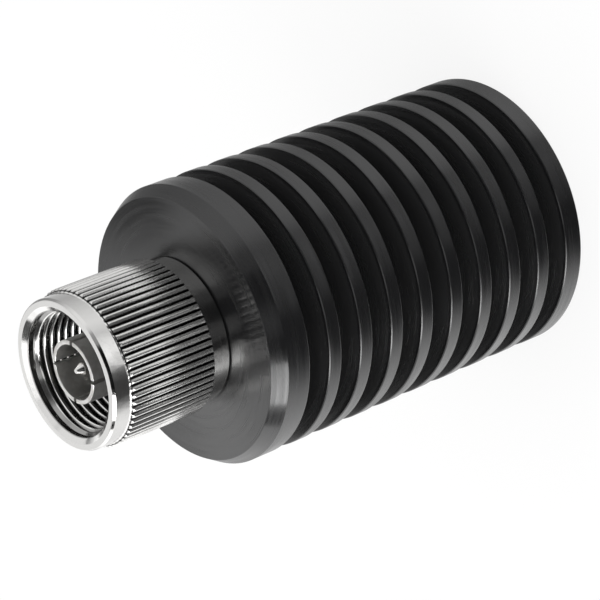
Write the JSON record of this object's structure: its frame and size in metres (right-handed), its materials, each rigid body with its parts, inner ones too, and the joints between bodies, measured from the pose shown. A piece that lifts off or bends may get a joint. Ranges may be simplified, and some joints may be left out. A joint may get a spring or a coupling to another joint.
{
  "type": "coaxial terminator",
  "caption": "Coaxial load that absorbs a line's power: plug with a knurled threaded nut that spins, slotted outer contact and pin, on a round finned black heatsink.",
  "frame": {"origin": "centre of the heatsink's rear face, on the part's axis", "axes": "+Z along the axis from the rear face to the plug's mouth; +X and +Y midway between the slots of the outer contact"},
  "size_m": [0.036, 0.036, 0.0689],
  "materials": {
    "black_anodise": "turned and anodised black, satin gloss",
    "nickel_plate": "brass with bright nickel plate",
    "bright_contact": "copper alloy with bright plate",
    "spring_bronze": "bare spring bronze",
    "bare_brass": "turned brass",
    "black_rubber": "matt moulded rubber",
    "dark_insulator": "dark machined plastic",
    "ceramic_film": "ceramic rod under a dark resistive film",
    "spring_steel": "spring steel"
  },
  "bodies": {
    "terminator": {"heatsink": "black_anodise", "connector_body": "nickel_plate", "flange_seal": "black_rubber", "outer_contact": "bright_contact", "mating_gasket": "black_rubber", "front_insulator": "dark_insulator", "center_contact": "bright_contact", "inner_conductor": "bright_contact", "resistor_rod": "ceramic_film", "front_terminal_cap": "bright_contact", "rear_terminal_cap": "bright_contact", "taper_sleeve": "bare_brass", "ground_collet": "spring_bronze", "clamp_nut": "bare_brass", "disc_spring": "spring_steel"},
    "nut": {"coupling_nut": "nickel_plate", "retaining_ring": "spring_bronze"}
  },
  "joints": [
    {"name": "nut_spin", "type": "hinge", "parent": "terminator", "child": "nut", "pos_m": [0, 0, 0.0545], "axis": [0, 0, 1], "continuous": true}
  ]
}
